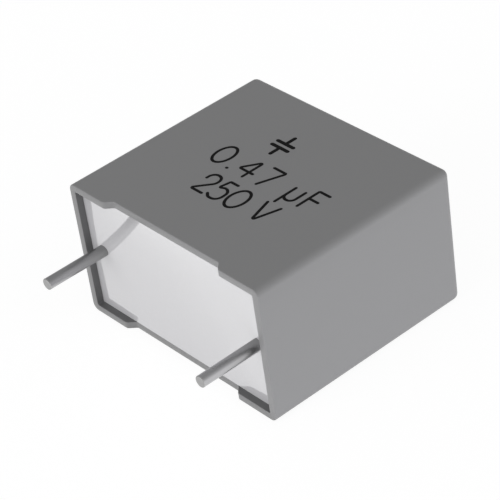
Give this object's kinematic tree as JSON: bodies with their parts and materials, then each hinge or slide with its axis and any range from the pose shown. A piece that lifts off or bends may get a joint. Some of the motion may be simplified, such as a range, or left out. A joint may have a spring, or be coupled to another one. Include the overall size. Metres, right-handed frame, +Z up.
{
  "type": "box film capacitor",
  "caption": "Grey moulded box film capacitor, potted with pale resin at its open end, with corner feet and straight tinned wire leads for a circuit board.",
  "frame": {"origin": "middle of the case's broad side that it lies on", "axes": "+Z up through the thickness, +Y from the leads to the closed end, +X along the lead pitch from the left lead to the right one"},
  "size_m": [0.018, 0.02, 0.01],
  "materials": {
    "case_plastic": "grey moulded polyester, fine satin",
    "potting_resin": "pale cast resin, glossy",
    "film_roll": "silvery metallised polyester film, wound and pressed flat",
    "sprayed_zinc": "grey sprayed metal, rough",
    "tinned_wire": "tinned copper wire, bright",
    "marking_ink": "thin black ink, printed on the broad side"
  },
  "bodies": {
    "root": {"case": "case_plastic", "resin_fill": "potting_resin", "winding": "film_roll", "end_spray_left": "sprayed_zinc", "end_spray_right": "sprayed_zinc", "lead_left": "tinned_wire", "lead_right": "tinned_wire"}
  },
  "joints": []
}
